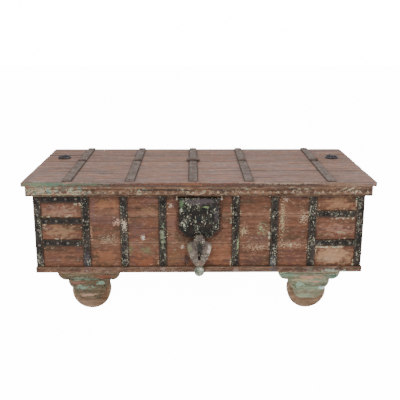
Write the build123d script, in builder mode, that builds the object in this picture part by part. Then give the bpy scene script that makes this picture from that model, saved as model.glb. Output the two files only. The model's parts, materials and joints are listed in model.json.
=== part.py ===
"""Low wooden trunk on four wheels: iron-strapped body, lid on strap hinges, hasp and ring pulls.

Frame: millimetres, +Z up, origin on the floor under the middle of the trunk. The front faces -Y.
"""

import os

from build123d import *

# Driving dimensions: overall
lid_width = 1150.0
overall_depth = 580.0
overall_height = 464.0
body_bottom = 145.0
body_end_gap = 4.5
body_front_gap = 9.0

# Boards
wall = 20.0
front_seam_shares = (0.0, 0.33, 0.66, 1.0)
lid_board = 15.0
floor_board = 18.0
floor_board_count = 4
board_edge_round = 5.0
largest_round = 0.45
board_gap = 0.6
apron_height = 33.0
apron_thickness = 16.0
apron_setback = 11.0
lid_seam_y = -120.0
rear_seam_y = 155.0
split_gap = 1.0
rail_width = 40.0
rail_height = 25.0
rail_lead = 12.0
batten_width = 44.0
batten_thickness = 15.0
batten_x = (-320.0, 320.0)
batten_end_gap = 9.0

# Plinth moulding round the foot of the body
plinth_height = 21.0
plinth_thickness = 10.0
plinth_end_thickness = 6.0

# Iron straps, bands and corner angles
iron = 3.0
strap_width = 23.0
strap_x = (121.5, 249.5, 376.0)
strap_top_gap = 10.0
corner_width = 21.0
left_bands = ((1.0, 26.0), (80.0, 20.0), (156.0, 22.0))
right_bands = ((57.0, 21.0), (158.0, 21.0))
end_strap_y = (-110.0, 110.0)

# Strap hinges on the lid
hinge_y = 42.0
hinge_width = 26.0
inner_hinge_x = (-225.0, -20.0, 161.0)
end_hinge_inset = 146.0
wide_hinge = 2
wide_barrel = 48.0
barrel_radius = 6.0
hinge_pin_radius = 2.5
barrel_lift = 0.3
leaf_end_gap = 18.0
knuckle_clear = 1.2
knuckle_gap = 0.25
knuckle_web = 2.0
wrap_drop = 15.0

# Ring pulls on the fixed rear board
ring_inset = 70.0
ring_set_back = 80.0
ring_radius = 21.0
ring_wire = 3.0
ring_lift = 0.2
ring_staple_gap = 0.6
ring_staple_wall = 3.6
ring_staple_width = 4.0

# Hasp plate, its rod and the lock board behind it
lock_board_thickness = 8.0
lock_board_margin = 9.5
lock_board_foot = 9.0
lock_board_drop = 1.0
rod_radius = 2.5
rod_drop = 11.0
rod_inset = 5.0
rod_end = 2.0
eye_side_gap = 5.5
eye_wall = 2.6
eye_width = 5.0
eye_shank_radius = 2.0
eye_shank_depth = 14.0
eye_shank_gap = 0.5
plate_half = 65.5
plate_thickness = 2.5
plate_height = 132.0
plate_curl_radius = 4.7
plate_corner = 29.0

# Hasp leaf hinged on the plate
leaf_pin_radius = 2.0
leaf_barrel_radius = 4.8
leaf_axis_rise = 6.0
leaf_barrel_half = 12.0
ear_width = 6.5
ear_gap = 0.2
ear_root_share = 0.8
leaf_thickness = 3.0
leaf_stand_off = 0.4
neck_drop = 3.0
lobe_half = 41.0
tongue_drop = 17.0
lobe_drop = 37.0
leaf_length = 119.0
leaf_shoulder = (0.84, 5.0)
leaf_waist = (0.72, 4.0)
leaf_tip_half = 7.65
leaf_tip_rise = 8.0
knob_radius = 17.0
knob_drop = 122.0
knob_height = 9.0
knob_round = 5.4

# Padlock eye fixed in the front wall, passing through a slot in the leaf
lock_eye_drop = 62.0
lock_eye_thickness = 5.0
lock_eye_radius = 5.5
lock_collar = 4.0
lock_eye_hole = 3.0
lock_eye_offset = 4.3
lock_shank_radius = 4.0
lock_washer_radius = 9.0
slot_side_gap = 1.2
slot_top_gap = 2.5
slot_drop = 16.0

# Wheels and brackets
wheel_radius = 66.0
wheel_thickness = 34.0
wheel_edge_round = 3.0
wheel_hub_radius = 20.0
wheel_hub_proud = 3.0
wheel_inset = 171.5
axle_radius = 8.0
axle_seat = 15.0
axle_end_gap = 1.0
bracket_half = 105.0
outer_cheek = 30.0
inner_cheek = 20.0
wheel_side_gap = 4.0
bracket_proud = 6.0
bracket_drop = 95.0
bracket_steps = (26.0, 55.0)
bracket_shelves = ((74.0, 70.0), (56.0, 52.0))
bracket_foot_half = 30.0
bracket_foot_rise = 2.0
scallop_bulges = (8.6, 4.3, 6.7)

# Fits
running_clearance = 0.08
seat_clearance = 0.05

# Nails
nail_radius = 5.0
nail_height = 1.5
band_nail_pitch = 34.0
nail_foot_gap = 22.0
nail_head_gap = 14.0
nail_rows = 5
lid_nail_shares = (0.05, 0.3, 0.55, 0.8)
rear_nail_inset = 40.0

# Values worked out from the driving dimensions
lid_x = lid_width / 2
lid_y = overall_depth / 2
lid_back = lid_y - iron
apron_x = lid_x - apron_setback
apron_y = lid_y - apron_setback
body_x = apron_x - apron_thickness - body_end_gap
body_y = apron_y - apron_thickness - body_front_gap
inner_x = body_x - wall
inner_y = body_y - wall
body_top = overall_height - lid_board
body_height = body_top - body_bottom
apron_z = body_top - apron_height
plinth_top = body_bottom + plinth_height
strap_top = body_top - strap_top_gap
strap_face = body_y + iron
hinge_z = overall_height + barrel_lift + barrel_radius
hinge_x = (end_hinge_inset - lid_x, *inner_hinge_x, lid_x - end_hinge_inset)
ring_x = lid_x - ring_inset
ring_staple_y = hinge_y + ring_set_back
ring_z = overall_height + ring_lift + ring_wire
rod_y = apron_thickness - apron_y - rod_inset
rod_z = apron_z - rod_drop
eye_x = plate_half + eye_side_gap + eye_width / 2
rod_half = eye_x + eye_width / 2 + rod_end
lock_board_half = plate_half + lock_board_margin
plate_face = rod_y - plate_curl_radius
plate_bottom = rod_z - plate_height
leaf_axis_z = plate_bottom + leaf_axis_rise
tongue_half = leaf_barrel_half + ear_gap + ear_width
lock_eye_z = leaf_axis_z - lock_eye_drop
leaf_axis_y = plate_face - leaf_stand_off - leaf_barrel_radius
leaf_back = leaf_axis_y + leaf_thickness / 2
leaf_front = leaf_back - leaf_thickness
lock_eye_y = leaf_front - lock_eye_offset
outer_cheek_face = body_y + bracket_proud
wheel_x = body_x - wheel_inset
wheel_z = wheel_radius
wheel_face = outer_cheek_face - outer_cheek - wheel_side_gap
inner_cheek_face = wheel_face - wheel_thickness - wheel_side_gap


def save(piece, node):
    """Label a finished piece and write its STEP file."""
    piece.part.label = node
    export_step(piece.part, f"parts/{node}.step")


def plank(node, x_span, y_span, z_span):
    """A plain board between two corners, given as a span along each axis."""
    with BuildPart() as board:
        block(x_span, y_span, z_span)
    save(board, node)


def block(x_span, y_span, z_span):
    """Add a box to the open part, given as a span along each axis."""
    size = [max(span) - min(span) for span in (x_span, y_span, z_span)]
    centre = tuple(sum(span) / 2 for span in (x_span, y_span, z_span))
    with Locations(centre):
        Box(*size)


def body_boards():
    """Front, back and end walls, each of sawn boards stacked edge to edge."""
    front_seams = [body_bottom + body_height * share for share in front_seam_shares]
    for course, name in enumerate(("lower", "middle", "upper")):
        z_span = (front_seams[course], front_seams[course + 1])
        with BuildPart() as board:
            block((-body_x, body_x), (-body_y, -inner_y), z_span)
            if z_span[0] < lock_eye_z < z_span[1]:
                with Locations(Plane.XZ.offset(inner_y)):
                    with Locations((0, lock_eye_z)):
                        Cylinder(
                            lock_shank_radius + seat_clearance,
                            wall,
                            align=(Align.CENTER, Align.CENTER, Align.MIN),
                            mode=Mode.SUBTRACT,
                        )
        save(board, f"front_board_{name}")
    middle = body_bottom + body_height / 2
    halves = ((body_bottom, middle - board_gap / 2), (middle + board_gap / 2, body_top))
    with BuildPart() as boards:
        for z_span in halves:
            block((-body_x, body_x), (inner_y, body_y), z_span)
    save(boards, "back_boards")
    for side, sign in (("left", -1), ("right", 1)):
        with BuildPart() as boards:
            for z_span in halves:
                block((sign * inner_x, sign * body_x), (-inner_y, inner_y), z_span)
        save(boards, f"end_boards_{side}")


def floor_boards():
    """Floor of boards laid along the trunk, let in between the walls."""
    width = 2 * inner_y / floor_board_count
    with BuildPart() as boards:
        for row in range(floor_board_count):
            y = -inner_y + row * width
            y_span = (y + board_gap / 2, y + width - board_gap / 2)
            block((-inner_x, inner_x), y_span, (body_bottom, body_bottom + floor_board))
    save(boards, "floor_boards")


def plinth():
    """Moulding nailed round the foot of the body, mitred by overlap at the corners."""
    outer_x = body_x + plinth_end_thickness
    z_span = (body_bottom, plinth_top)
    for name, sign in (("front", -1), ("back", 1)):
        y_span = (sign * body_y, sign * (body_y + plinth_thickness))
        with BuildPart() as strip:
            block((-outer_x, outer_x), y_span, z_span)
            face = strip.faces().sort_by(Axis.Y)[0 if sign < 0 else -1]
            upper = face.edges().filter_by(Axis.X).sort_by(Axis.Z)[-1]
            fillet(upper, plinth_thickness * largest_round)
        save(strip, f"plinth_{name}")
    with BuildPart() as ends:
        for sign in (-1, 1):
            block((sign * body_x, sign * outer_x), (-body_y, body_y), z_span)
        rims = [ends.faces().sort_by(Axis.X)[0], ends.faces().sort_by(Axis.X)[-1]]
        upper = [rim.edges().filter_by(Axis.Y).sort_by(Axis.Z)[-1] for rim in rims]
        fillet(upper, plinth_end_thickness * largest_round)
    save(ends, "plinth_ends")


def top_rail():
    """Cross rail under the split of the top, which carries both boards there."""
    front = hinge_y - rail_lead
    plank(
        "top_rail",
        (-inner_x, inner_x),
        (front, front + rail_width),
        (body_top - rail_height, body_top),
    )


def rounded_board(node, y_span, round_y):
    """A top board with rounded ends, and a rounded long edge where round_y names one."""
    with BuildPart() as board:
        block((-lid_x, lid_x), y_span, (body_top, overall_height))
        rims = [board.faces().sort_by(Axis.X)[0], board.faces().sort_by(Axis.X)[-1]]
        edges = [edge for rim in rims for edge in rim.edges().filter_by(Axis.Y)]
        if round_y is not None:
            rim = board.faces().sort_by(Axis.Y)[0 if round_y < 0 else -1]
            edges += rim.edges().filter_by(Axis.X)
        fillet(edges, min(board_edge_round, lid_board * largest_round))
    save(board, node)


def top_boards():
    """Two boards of the opening lid and two fixed boards behind the split."""
    rounded_board("lid_plank_front", (-lid_y, lid_seam_y), -1)
    rounded_board("lid_plank_rear", (lid_seam_y, hinge_y - split_gap), None)
    rounded_board("rear_plank_front", (hinge_y, rear_seam_y), None)
    rounded_board("rear_plank_back", (rear_seam_y, lid_back), 1)


def lid_battens():
    """Cross battens under the lid, short of the walls so that they lift out freely."""
    with BuildPart() as battens:
        for x in batten_x:
            block(
                (x - batten_width / 2, x + batten_width / 2),
                (-inner_y + batten_end_gap, hinge_y - rail_lead - batten_end_gap / 2),
                (body_top - batten_thickness, body_top),
            )
    save(battens, "lid_battens")


def aprons():
    """Skirt boards under the overhang: front and sides lift with the lid, the rest is fixed."""
    z_span = (apron_z, body_top)
    inner = apron_x - apron_thickness
    with BuildPart() as front:
        block((-apron_x, apron_x), (-apron_y, apron_thickness - apron_y), z_span)
        for x in (-eye_x, eye_x):
            with Locations((x, rod_y, apron_z)):
                Cylinder(
                    eye_shank_radius + seat_clearance,
                    eye_shank_depth,
                    align=(Align.CENTER, Align.CENTER, Align.MIN),
                    mode=Mode.SUBTRACT,
                )
    save(front, "lid_apron_front")
    for side, sign in (("left", -1), ("right", 1)):
        x_span = (sign * inner, sign * apron_x)
        plank(f"lid_apron_{side}", x_span, (apron_thickness - apron_y, hinge_y - split_gap), z_span)
    plank("rear_apron_back", (-apron_x, apron_x), (apron_y - apron_thickness, apron_y), z_span)
    with BuildPart() as ends:
        for sign in (-1, 1):
            block((sign * inner, sign * apron_x), (hinge_y, apron_y - apron_thickness), z_span)
    save(ends, "rear_apron_ends")


def front_straps():
    """Vertical iron straps on the front wall, from the plinth up under the apron."""
    for side, sign in (("left", -1), ("right", 1)):
        with BuildPart() as straps:
            for x in strap_x:
                x_span = (sign * x - strap_width / 2, sign * x + strap_width / 2)
                block(x_span, (-strap_face, -body_y), (plinth_top, strap_top))
        save(straps, f"front_straps_{side}")


def end_straps():
    """Vertical iron straps on the end walls."""
    with BuildPart() as straps:
        for sign in (-1, 1):
            for y in end_strap_y:
                y_span = (y - strap_width / 2, y + strap_width / 2)
                block((sign * body_x, sign * (body_x + iron)), y_span, (plinth_top, strap_top))
    save(straps, "end_straps")


def corner_angle(x_sign, y_sign):
    """Add one upright angle iron to the open part, lapped round a corner of the body."""
    z_span = (plinth_top, strap_top)
    outer_x = x_sign * (body_x + iron)
    outer_y = y_sign * strap_face
    reach = corner_width + iron
    block((outer_x, outer_x - x_sign * reach), (outer_y, y_sign * body_y), z_span)
    block((outer_x, x_sign * body_x), (outer_y, outer_y - y_sign * reach), z_span)


def corner_irons():
    """Angle irons over the four upright corners."""
    for side, x_sign in (("left", -1), ("right", 1)):
        with BuildPart() as angle:
            corner_angle(x_sign, -1)
        save(angle, f"corner_iron_front_{side}")
    with BuildPart() as angles:
        for x_sign in (-1, 1):
            corner_angle(x_sign, 1)
    save(angles, "corner_irons_back")


def corner_bands():
    """Short level bands between a front corner iron and the nearest upright strap."""
    inner_end = strap_x[-1] + strap_width / 2
    outer_end = body_x - corner_width
    for side, sign, bands in (("left", -1, left_bands), ("right", 1, right_bands)):
        with BuildPart() as straps:
            for drop, width in bands:
                x_span = (sign * inner_end, sign * outer_end)
                z_span = (apron_z - drop - width, apron_z - drop)
                block(x_span, (-strap_face, -body_y), z_span)
        save(straps, f"corner_bands_{side}")


def hinge_barrel(x_span, pin_gap):
    """Add one hinge knuckle with its bore to the open part."""
    length = x_span[1] - x_span[0]
    with Locations(Plane.YZ.offset(x_span[0])):
        with Locations((hinge_y, hinge_z)):
            lower = (Align.CENTER, Align.CENTER, Align.MIN)
            Cylinder(barrel_radius, length, align=lower)
            Cylinder(hinge_pin_radius + pin_gap, length, align=lower, mode=Mode.SUBTRACT)


def barrel_spans(number):
    """The three knuckles of a hinge: outer, middle and outer, as spans along X."""
    length = wide_barrel if number == wide_hinge else hinge_width
    start = hinge_x[number] - length / 2
    cuts = [start, start + length / 3, start + length * 2 / 3, start + length]
    middle = (cuts[1] + knuckle_gap, cuts[2] - knuckle_gap)
    return (cuts[0], cuts[1] - knuckle_gap), middle, (cuts[2] + knuckle_gap, cuts[3])


def lid_straps():
    """Front hinge leaves: straps along the lid, each with the middle knuckle of its hinge."""
    front = -(lid_y - leaf_end_gap)
    stop = hinge_y - barrel_radius - knuckle_clear
    leaf_z = (overall_height, overall_height + iron)
    for number, x in enumerate(hinge_x):
        middle = barrel_spans(number)[1]
        with BuildPart() as leaf:
            block((x - hinge_width / 2, x + hinge_width / 2), (front, stop), leaf_z)
            block(middle, (stop - iron, hinge_y - knuckle_web), leaf_z)
            hinge_barrel(middle, running_clearance)
        save(leaf, f"lid_strap_{'abcde'[number]}")


def rear_leaves():
    """Rear hinge leaves: outer knuckles, a strap to the back edge and a lip turned down over it."""
    stop = hinge_y + barrel_radius + knuckle_clear
    leaf_z = (overall_height, overall_height + iron)
    with BuildPart() as leaves:
        for number, x in enumerate(hinge_x):
            strap = (x - hinge_width / 2, x + hinge_width / 2)
            block(strap, (stop, lid_y), leaf_z)
            block(strap, (lid_back, lid_y), (overall_height - wrap_drop, overall_height))
            spans = barrel_spans(number)
            for knuckle in (spans[0], spans[2]):
                block(knuckle, (hinge_y + knuckle_web, stop + iron), leaf_z)
                hinge_barrel(knuckle, seat_clearance)
            block((spans[0][0], spans[2][1]), (stop, stop + hinge_width / 2), leaf_z)
    save(leaves, "rear_hinge_leaves")


def hinge_pins():
    """Five pins, each the length of its barrel."""
    with BuildPart() as pins:
        for number in range(len(hinge_x)):
            spans = barrel_spans(number)
            start = spans[0][0]
            with Locations(Plane.YZ.offset(start)):
                with Locations((hinge_y, hinge_z)):
                    Cylinder(
                        hinge_pin_radius,
                        spans[2][1] - start,
                        align=(Align.CENTER, Align.CENTER, Align.MIN),
                    )
    save(pins, "hinge_pins")


def ring_pulls():
    """Round wire rings that lie on the rear board and turn up in their staples."""
    for side, x in (("left", -ring_x), ("right", ring_x)):
        with BuildPart() as ring:
            with Locations((x, ring_staple_y - ring_radius, ring_z)):
                Torus(ring_radius, ring_wire)
        save(ring, f"ring_{side}")


def ring_staples():
    """Arched staples over the rings, centred on the axis that each ring turns about."""
    inner = ring_wire + ring_staple_gap
    outer = inner + ring_staple_wall
    with BuildPart() as staples:
        for x in (-ring_x, ring_x):
            start = x - ring_staple_width / 2
            with BuildSketch(Plane.YZ.offset(start)):
                with Locations((ring_staple_y, ring_z)):
                    Circle(outer)
                    Circle(inner, mode=Mode.SUBTRACT)
                with Locations((ring_staple_y, ring_z)):
                    Rectangle(2 * outer, outer, align=(Align.CENTER, Align.MAX), mode=Mode.SUBTRACT)
                leg_height = ring_z - overall_height
                for side in (-1, 1):
                    with Locations((ring_staple_y + side * (inner + outer) / 2, ring_z)):
                        Rectangle(
                            ring_staple_wall, leg_height, align=(Align.CENTER, Align.MAX)
                        )
            extrude(amount=ring_staple_width)
    save(staples, "ring_staples")


def shield_outline(half, top, bottom, corner):
    """Outline shared by the hasp plate and the board behind it: square above, corners cut below."""
    with BuildLine() as outline:
        Polyline(
            (-half, top),
            (-half, bottom + corner),
            (-half + corner, bottom),
            (half - corner, bottom),
            (half, bottom + corner),
            (half, top),
            close=True,
        )
    return outline.edges()


def lock_board():
    """Thin board on the front wall behind the hasp plate, with the same cut corners."""
    top = rod_z - lock_board_drop
    bottom = plate_bottom - lock_board_foot
    with BuildPart() as board:
        with BuildSketch(Plane.XZ.offset(body_y)):
            make_face(shield_outline(lock_board_half, top, bottom, plate_corner))
        extrude(amount=lock_board_thickness)
    save(board, "lock_board")


def hasp_rod():
    """Level rod below the front apron that the hasp plate hangs from."""
    with BuildPart() as rod:
        with Locations(Plane.YZ.offset(-rod_half)):
            with Locations((rod_y, rod_z)):
                lower = (Align.CENTER, Align.CENTER, Align.MIN)
                Cylinder(rod_radius, 2 * rod_half, align=lower)
    save(rod, "hasp_rod")


def hasp_eyes():
    """Two eyes driven up into the apron, which hold the rod."""
    with BuildPart() as eyes:
        for x in (-eye_x, eye_x):
            with Locations((x, rod_y, rod_z)):
                Cylinder(
                    eye_shank_radius,
                    apron_z + eye_shank_depth - rod_z - eye_shank_gap,
                    align=(Align.CENTER, Align.CENTER, Align.MIN),
                )
            with Locations(Plane.YZ.offset(x - eye_width / 2)):
                with Locations((rod_y, rod_z)):
                    lower = (Align.CENTER, Align.CENTER, Align.MIN)
                    Cylinder(rod_radius + eye_wall, eye_width, align=lower)
                    bore = rod_radius + seat_clearance
                    Cylinder(bore, eye_width, align=lower, mode=Mode.SUBTRACT)
    save(eyes, "hasp_eyes")


def hasp_plate():
    """Plate rolled round the rod at its top edge, with two ears for the leaf at its foot."""
    plate_back = plate_face + plate_thickness
    lower = (Align.CENTER, Align.CENTER, Align.MIN)
    with BuildPart() as plate:
        with BuildSketch(Plane.XZ.offset(-plate_back)):
            make_face(shield_outline(plate_half, rod_z, plate_bottom, plate_corner))
        extrude(amount=plate_thickness)
        with Locations(Plane.YZ.offset(-plate_half)):
            with Locations((rod_y, rod_z)):
                Cylinder(plate_curl_radius, 2 * plate_half, align=lower)
                bore = rod_radius + running_clearance
                Cylinder(bore, 2 * plate_half, align=lower, mode=Mode.SUBTRACT)
        ear_start = leaf_barrel_half + ear_gap
        root_half = leaf_barrel_radius * ear_root_share
        for x in (-ear_start - ear_width, ear_start):
            block(
                (x, x + ear_width),
                (leaf_axis_y, plate_face),
                (leaf_axis_z - root_half, leaf_axis_z + root_half),
            )
            with Locations(Plane.YZ.offset(x)):
                with Locations((leaf_axis_y, leaf_axis_z)):
                    Cylinder(leaf_barrel_radius, ear_width, align=lower)
                    bore = leaf_pin_radius + seat_clearance
                    Cylinder(bore, ear_width, align=lower, mode=Mode.SUBTRACT)
    save(plate, "hasp_plate")


def hasp_pin():
    """Pin that joins the leaf to the plate's ears."""
    with BuildPart() as pin:
        with Locations(Plane.YZ.offset(-tongue_half)):
            with Locations((leaf_axis_y, leaf_axis_z)):
                lower = (Align.CENTER, Align.CENTER, Align.MIN)
                Cylinder(leaf_pin_radius, 2 * tongue_half, align=lower)
    save(pin, "hasp_pin")


def hasp_leaf():
    """Spade-shaped leaf with a rolled eye at its top and a slot for the padlock eye."""
    lower = (Align.CENTER, Align.CENTER, Align.MIN)
    neck = leaf_axis_z - leaf_barrel_radius - neck_drop
    tongue_bottom = leaf_axis_z - tongue_drop
    lobe_z = leaf_axis_z - lobe_drop
    leaf_tip_z = leaf_axis_z - leaf_length
    tip_top = leaf_tip_z + leaf_tip_rise
    slot_half = lock_eye_thickness / 2 + slot_side_gap
    slot_top = lock_eye_z + lock_eye_radius + slot_top_gap
    slot_bottom = lock_eye_z - lock_eye_radius - slot_drop
    with BuildPart() as leaf:
        with BuildSketch(Plane.XZ.offset(-leaf_back)):
            with BuildLine():
                Polyline((0, leaf_axis_z), (leaf_barrel_half, leaf_axis_z), (leaf_barrel_half, neck))
                Polyline((leaf_barrel_half, neck), (tongue_half, neck), (tongue_half, tongue_bottom))
                ThreePointArc(
                    (tongue_half, tongue_bottom),
                    (lobe_half * leaf_shoulder[0], tongue_bottom - leaf_shoulder[1]),
                    (lobe_half, lobe_z),
                )
                ThreePointArc(
                    (lobe_half, lobe_z),
                    (lobe_half * leaf_waist[0], (lobe_z + leaf_tip_z) / 2 + leaf_waist[1]),
                    (leaf_tip_half, tip_top),
                )
                Polyline((leaf_tip_half, tip_top), (leaf_tip_half, leaf_tip_z), (0, leaf_tip_z))
                mirror(about=Plane.YZ)
            make_face()
            with Locations((0, (slot_top + slot_bottom) / 2)):
                Rectangle(2 * slot_half, slot_top - slot_bottom, mode=Mode.SUBTRACT)
        extrude(amount=leaf_thickness)
        with Locations(Plane.YZ.offset(-leaf_barrel_half)):
            with Locations((leaf_axis_y, leaf_axis_z)):
                Cylinder(leaf_barrel_radius, 2 * leaf_barrel_half, align=lower)
                bore = leaf_pin_radius + running_clearance
                Cylinder(bore, 2 * leaf_barrel_half, align=lower, mode=Mode.SUBTRACT)
    save(leaf, "hasp_leaf")


def hasp_knob():
    """Domed pull riveted on the tip of the leaf."""
    with BuildPart() as knob:
        with BuildSketch(Plane.XZ.offset(-leaf_front)):
            with Locations((0, leaf_axis_z - knob_drop)):
                Circle(knob_radius)
        extrude(amount=knob_height)
        rim = knob.faces().sort_by(Axis.Y)[0].edges()
        fillet(rim, min(knob_round, knob_height * 0.9))
    save(knob, "hasp_knob")


def lock_eye():
    """Upright padlock eye with a shank through the front wall and a clench washer inside."""
    lower = (Align.CENTER, Align.CENTER, Align.MIN)
    with BuildPart() as eye:
        with BuildSketch(Plane.YZ.offset(-lock_eye_thickness / 2)):
            with Locations((lock_eye_y, lock_eye_z)):
                Circle(lock_eye_radius)
            neck_y = -body_y - lock_collar / 2
            with Locations(((lock_eye_y + neck_y) / 2, lock_eye_z)):
                Rectangle(neck_y - lock_eye_y, 2 * lock_eye_radius)
            with Locations((lock_eye_y, lock_eye_z)):
                Circle(lock_eye_hole, mode=Mode.SUBTRACT)
        extrude(amount=lock_eye_thickness)
        with Locations(Plane.XZ.offset(body_y)):
            with Locations((0, lock_eye_z)):
                Cylinder(lock_washer_radius, lock_collar, align=lower)
        with Locations(Plane.XZ.offset(inner_y - iron)):
            with Locations((0, lock_eye_z)):
                Cylinder(lock_shank_radius, wall + iron + lock_collar / 2, align=lower)
                Cylinder(lock_washer_radius, iron, align=lower)
    save(eye, "lock_eye")


def bracket_outline(plane):
    """Scalloped outline of a cheek, widest under the body and stepped in twice to its foot."""
    top = body_bottom
    foot = top - bracket_drop
    foot_corner = (bracket_foot_half, foot + bracket_foot_rise)
    with BuildSketch(plane) as outline:
        with BuildLine():
            Line((0, top), (bracket_half, top))
            start = (bracket_half, top)
            for drop, shelf, bulge in zip(bracket_steps, bracket_shelves, scallop_bulges):
                outer, inner = ((half, top - drop) for half in shelf)
                SagittaArc(start, outer, bulge)
                Line(outer, inner)
                start = inner
            SagittaArc(start, foot_corner, scallop_bulges[-1])
            TangentArc((0, foot), foot_corner, tangent=(1, 0))
            mirror(about=Plane.YZ)
        make_face()
    return outline.sketch


def brackets_and_wheels():
    """Four wheels, each on an iron axle held between an outer and an inner cheek."""
    lower = (Align.CENTER, Align.CENTER, Align.MIN)
    axle_start = outer_cheek_face - outer_cheek + axle_seat
    axle_end = inner_cheek_face - axle_seat
    for end, y_sign in (("front", 1), ("back", -1)):
        for side, x in (("left", -wheel_x), ("right", wheel_x)):
            outward = Plane((x, 0, 0), x_dir=(y_sign, 0, 0), z_dir=(0, -y_sign, 0))
            with BuildPart() as bracket:
                for start, thickness in (
                    (outer_cheek_face - outer_cheek, outer_cheek),
                    (inner_cheek_face - inner_cheek, inner_cheek),
                ):
                    extrude(bracket_outline(outward.offset(start)), amount=thickness)
                with Locations(outward.offset(axle_end - axle_end_gap)):
                    with Locations((0, wheel_z)):
                        length = axle_start - axle_end + 2 * axle_end_gap
                        bore = axle_radius + seat_clearance
                        Cylinder(bore, length, align=lower, mode=Mode.SUBTRACT)
            save(bracket, f"bracket_{end}_{side}")
            with BuildPart() as wheel:
                with Locations(outward.offset(wheel_face - wheel_thickness)):
                    with Locations((0, wheel_z)):
                        Cylinder(wheel_radius, wheel_thickness, align=lower)
                rims = wheel.edges().filter_by(GeomType.CIRCLE)
                fillet(rims, wheel_edge_round)
                with Locations(outward.offset(wheel_face - wheel_thickness - wheel_hub_proud)):
                    with Locations((0, wheel_z)):
                        length = wheel_thickness + 2 * wheel_hub_proud
                        Cylinder(wheel_hub_radius, length, align=lower)
                        bore = axle_radius + running_clearance
                        Cylinder(bore, length, align=lower, mode=Mode.SUBTRACT)
            save(wheel, f"wheel_{end}_{side}")
    with BuildPart() as axles:
        for y_sign in (1, -1):
            for x in (-wheel_x, wheel_x):
                outward = Plane((x, 0, 0), x_dir=(y_sign, 0, 0), z_dir=(0, -y_sign, 0))
                with Locations(outward.offset(axle_end)):
                    with Locations((0, wheel_z)):
                        Cylinder(axle_radius, axle_start - axle_end, align=lower)
    save(axles, "axles")


def nail_heads(node, plane, spots):
    """Nail heads standing on a plane, at spots given in the plane's own axes."""
    with BuildPart() as nails:
        with Locations(plane):
            with Locations(spots):
                lower = (Align.CENTER, Align.CENTER, Align.MIN)
                Cylinder(nail_radius, nail_height, align=lower)
    save(nails, node)


def all_nails():
    """Nail heads on the iron of the front wall, the lid and the fixed rear boards."""
    low = plinth_top + nail_foot_gap
    pitch = (apron_z - nail_head_gap - low) / (nail_rows - 1)
    rows = [low + pitch * step for step in range(nail_rows)]
    band_start = strap_x[-1] + strap_width / 2
    band_length = body_x - corner_width - band_start
    band_nails = max(1, round(band_length / band_nail_pitch))
    spots = []
    for sign, bands in ((-1, left_bands), (1, right_bands)):
        spots += [(sign * x, z) for x in strap_x for z in rows]
        spots += [(sign * (body_x - corner_width / 2), z) for z in rows]
        for drop, width in bands:
            z = apron_z - drop - width / 2
            for step in range(band_nails):
                x = band_start + band_length * (step + 0.5) / band_nails
                spots.append((sign * x, z))
    nail_heads("front_nails", Plane.XZ.offset(strap_face), spots)
    front = -(lid_y - leaf_end_gap)
    lid_rows = [front + (hinge_y - front) * share for share in lid_nail_shares]
    spots = [(x, y) for x in hinge_x for y in lid_rows]
    nail_heads("lid_nails", Plane.XY.offset(overall_height + iron), spots)
    rear_rows = (hinge_y + rear_nail_inset, lid_back - rear_nail_inset)
    spots = [(x, y) for x in hinge_x for y in rear_rows]
    nail_heads("rear_nails", Plane.XY.offset(overall_height + iron), spots)


os.makedirs("parts", exist_ok=True)
body_boards()
floor_boards()
plinth()
top_rail()
top_boards()
lid_battens()
aprons()
front_straps()
end_straps()
corner_irons()
corner_bands()
lid_straps()
rear_leaves()
hinge_pins()
ring_pulls()
ring_staples()
lock_board()
hasp_rod()
hasp_eyes()
hasp_plate()
hasp_pin()
hasp_leaf()
hasp_knob()
lock_eye()
brackets_and_wheels()
all_nails()
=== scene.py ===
"""Old strapped trunk on wheels: worn painted wood and iron around its frame. Metres, +Z up, front to -Y."""

import json
import math

import bmesh
import bpy
from mathutils import Matrix, Vector, noise


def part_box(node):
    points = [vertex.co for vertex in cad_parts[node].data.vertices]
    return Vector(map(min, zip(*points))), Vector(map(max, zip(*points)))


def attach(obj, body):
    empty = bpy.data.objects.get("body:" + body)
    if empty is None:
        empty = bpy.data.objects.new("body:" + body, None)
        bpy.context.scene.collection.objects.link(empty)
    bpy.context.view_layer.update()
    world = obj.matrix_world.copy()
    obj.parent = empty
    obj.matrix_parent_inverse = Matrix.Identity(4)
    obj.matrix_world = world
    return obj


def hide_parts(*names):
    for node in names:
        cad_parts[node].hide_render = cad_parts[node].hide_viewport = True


MM = 0.001

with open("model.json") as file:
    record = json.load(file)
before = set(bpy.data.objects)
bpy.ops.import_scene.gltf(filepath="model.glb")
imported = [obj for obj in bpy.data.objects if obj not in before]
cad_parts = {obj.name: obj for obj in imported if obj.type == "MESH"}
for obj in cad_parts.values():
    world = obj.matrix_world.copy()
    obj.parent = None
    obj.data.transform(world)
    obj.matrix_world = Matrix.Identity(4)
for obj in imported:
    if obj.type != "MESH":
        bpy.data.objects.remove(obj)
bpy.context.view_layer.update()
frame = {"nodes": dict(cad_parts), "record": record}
nodes = frame["nodes"]
bodies = frame["record"]["behaviour"]["bodies"]
body_of_node = {node: body for body, members in bodies.items() for node in members}


# ---------------------------------------------------------------- shader helpers


def srgb(code):
    """Linear RGBA of an sRGB hex colour."""
    parts = [int(code[start:start + 2], 16) / 255 for start in (1, 3, 5)]
    linear = [part / 12.92 if part <= 0.04045 else ((part + 0.055) / 1.055) ** 2.4 for part in parts]
    return (*linear, 1.0)


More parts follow.
